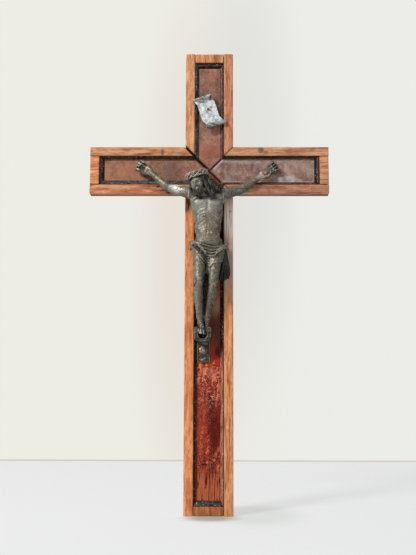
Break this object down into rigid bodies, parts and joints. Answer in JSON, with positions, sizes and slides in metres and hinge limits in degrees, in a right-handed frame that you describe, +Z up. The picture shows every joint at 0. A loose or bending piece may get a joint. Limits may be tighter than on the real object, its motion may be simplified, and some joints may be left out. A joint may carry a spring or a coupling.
{
  "type": "wall crucifix",
  "caption": "Wall crucifix: framed oak cross with recessed panels and dark beads, a cast metal figure, a foot bracket and a tilted scroll that turns on its nail.",
  "frame": {"origin": "middle of the crossing, on the flat back face of the wooden cross", "axes": "+Z up along the post, +X to the viewer's right along the crosspiece, +Y into the wall that the back lies on"},
  "size_m": [0.24, 0.0403, 0.46],
  "materials": {
    "oak": "waxed, satin, worn at the edges",
    "back_oak": "plain sawn and stained",
    "brown_panel": "old brown varnish, glossy",
    "red_panel": "crazed red-brown varnish, glossy",
    "ebonised_bead": "black paint, glossy, rubbed",
    "patinated_cast_metal": "cast white metal with a worn bronze-grey patina",
    "white_metal": "dull silver, tarnished in the hollows",
    "copper_nail": "dull copper",
    "iron_nail": "rusted dark iron"
  },
  "bodies": {
    "cross": {"back_post": "back_oak", "back_crosspiece": "back_oak", "upper_arm_left_stile": "oak", "upper_arm_left_bead": "ebonised_bead", "upper_arm_right_stile": "oak", "upper_arm_right_bead": "ebonised_bead", "upper_arm_end_rail": "oak", "upper_arm_end_bead": "ebonised_bead", "upper_arm_panel": "brown_panel", "right_arm_upper_stile": "oak", "right_arm_upper_bead": "ebonised_bead", "right_arm_lower_stile": "oak", "right_arm_lower_bead": "ebonised_bead", "right_arm_end_rail": "oak", "right_arm_end_bead": "ebonised_bead", "right_arm_panel": "brown_panel", "lower_arm_right_stile": "oak", "lower_arm_right_bead": "ebonised_bead", "lower_arm_left_stile": "oak", "lower_arm_left_bead": "ebonised_bead", "lower_arm_end_rail": "oak", "lower_arm_end_bead": "ebonised_bead", "lower_arm_panel": "red_panel", "left_arm_lower_stile": "oak", "left_arm_lower_bead": "ebonised_bead", "left_arm_upper_stile": "oak", "left_arm_upper_bead": "ebonised_bead", "left_arm_end_rail": "oak", "left_arm_end_bead": "ebonised_bead", "left_arm_panel": "brown_panel", "corpus_body": "patinated_cast_metal", "corpus_left_arm": "patinated_cast_metal", "corpus_right_arm": "patinated_cast_metal", "foot_bracket": "patinated_cast_metal", "titulus_nail": "iron_nail", "left_hand_nail": "copper_nail", "right_hand_nail": "copper_nail", "tongue_nail": "copper_nail"},
    "titulus": {"titulus": "white_metal"}
  },
  "joints": [
    {"name": "titulus_turn", "type": "hinge", "parent": "cross", "child": "titulus", "pos_m": [-0.0011, -0.0132, 0.0629], "axis": [0, -1, 0], "continuous": true}
  ]
}
